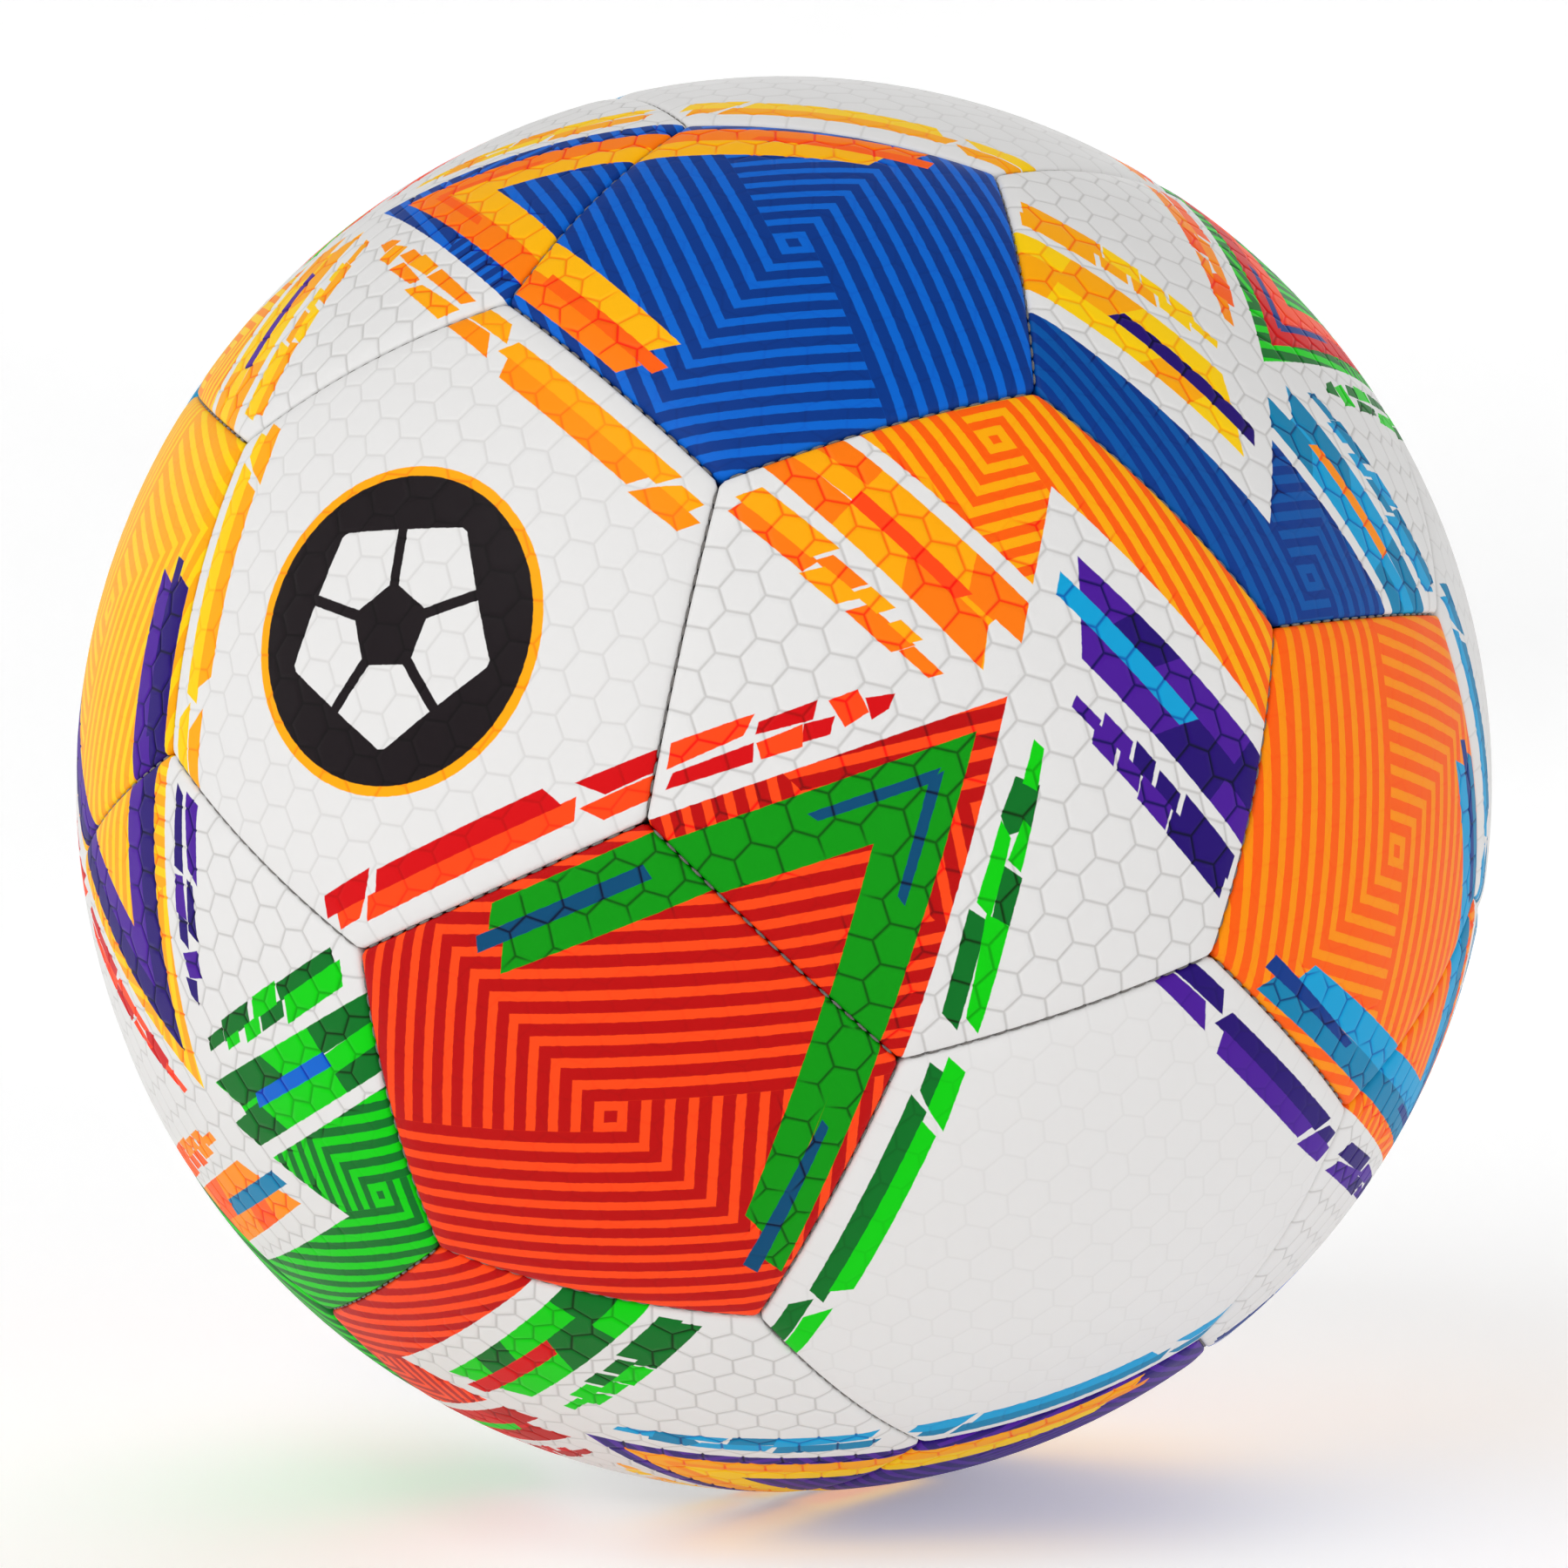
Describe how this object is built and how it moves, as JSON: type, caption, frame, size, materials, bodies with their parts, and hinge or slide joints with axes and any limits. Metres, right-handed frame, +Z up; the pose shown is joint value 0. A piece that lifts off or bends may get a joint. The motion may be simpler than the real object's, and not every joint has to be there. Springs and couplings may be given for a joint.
{
  "type": "soccer ball",
  "caption": "Stitched soccer ball of pentagon and hexagon panels with a bright geometric print, over foam, cloth and an inflated bladder with a needle valve.",
  "frame": {"origin": "centre of the ball", "axes": "+Z up as the ball lies, +Y away from the side with the large red, blue and orange print; the valve is on the upper back"},
  "size_m": [0.22, 0.22, 0.22],
  "materials": {
    "white_cover": "embossed, satin, printed synthetic leather",
    "blue_cover": "embossed, satin, printed synthetic leather",
    "red_cover": "embossed, satin, printed synthetic leather",
    "orange_cover": "embossed, satin, printed synthetic leather",
    "yellow_cover": "embossed, satin, printed synthetic leather",
    "green_cover": "embossed, satin, printed synthetic leather",
    "purple_cover": "embossed, satin, printed synthetic leather",
    "foam": "closed-cell foam",
    "lining_cloth": "woven polyester and cotton plies",
    "thread": "waxed polyester",
    "bladder_rubber": "butyl",
    "valve_rubber": "moulded, semi-matt"
  },
  "bodies": {
    "root": {"pentagon_panel_01": "blue_cover", "pentagon_panel_02": "green_cover", "pentagon_panel_03": "purple_cover", "pentagon_panel_04": "yellow_cover", "pentagon_panel_05": "red_cover", "pentagon_panel_06": "orange_cover", "pentagon_panel_07": "red_cover", "pentagon_panel_08": "orange_cover", "pentagon_panel_09": "green_cover", "pentagon_panel_10": "purple_cover", "pentagon_panel_11": "yellow_cover", "pentagon_panel_12": "blue_cover", "hexagon_panel_01": "white_cover", "hexagon_panel_02": "white_cover", "hexagon_panel_03": "white_cover", "hexagon_panel_04": "white_cover", "hexagon_panel_05": "white_cover", "hexagon_panel_06": "white_cover", "hexagon_panel_07": "white_cover", "hexagon_panel_08": "white_cover", "hexagon_panel_09": "white_cover", "hexagon_panel_10": "white_cover", "hexagon_panel_11": "white_cover", "hexagon_panel_12": "white_cover", "hexagon_panel_13": "white_cover", "hexagon_panel_14": "white_cover", "hexagon_panel_15": "white_cover", "hexagon_panel_16": "white_cover", "hexagon_panel_17": "white_cover", "hexagon_panel_18": "white_cover", "hexagon_panel_19": "white_cover", "hexagon_panel_20": "white_cover", "pentagon_foam_pads": "foam", "hexagon_foam_pads": "foam", "pentagon_linings": "lining_cloth", "hexagon_linings": "lining_cloth", "pentagon_seam_threads": "thread", "hexagon_seam_threads": "thread", "bladder": "bladder_rubber", "valve_patch": "bladder_rubber", "valve_housing": "valve_rubber", "valve_core": "valve_rubber"}
  },
  "joints": []
}
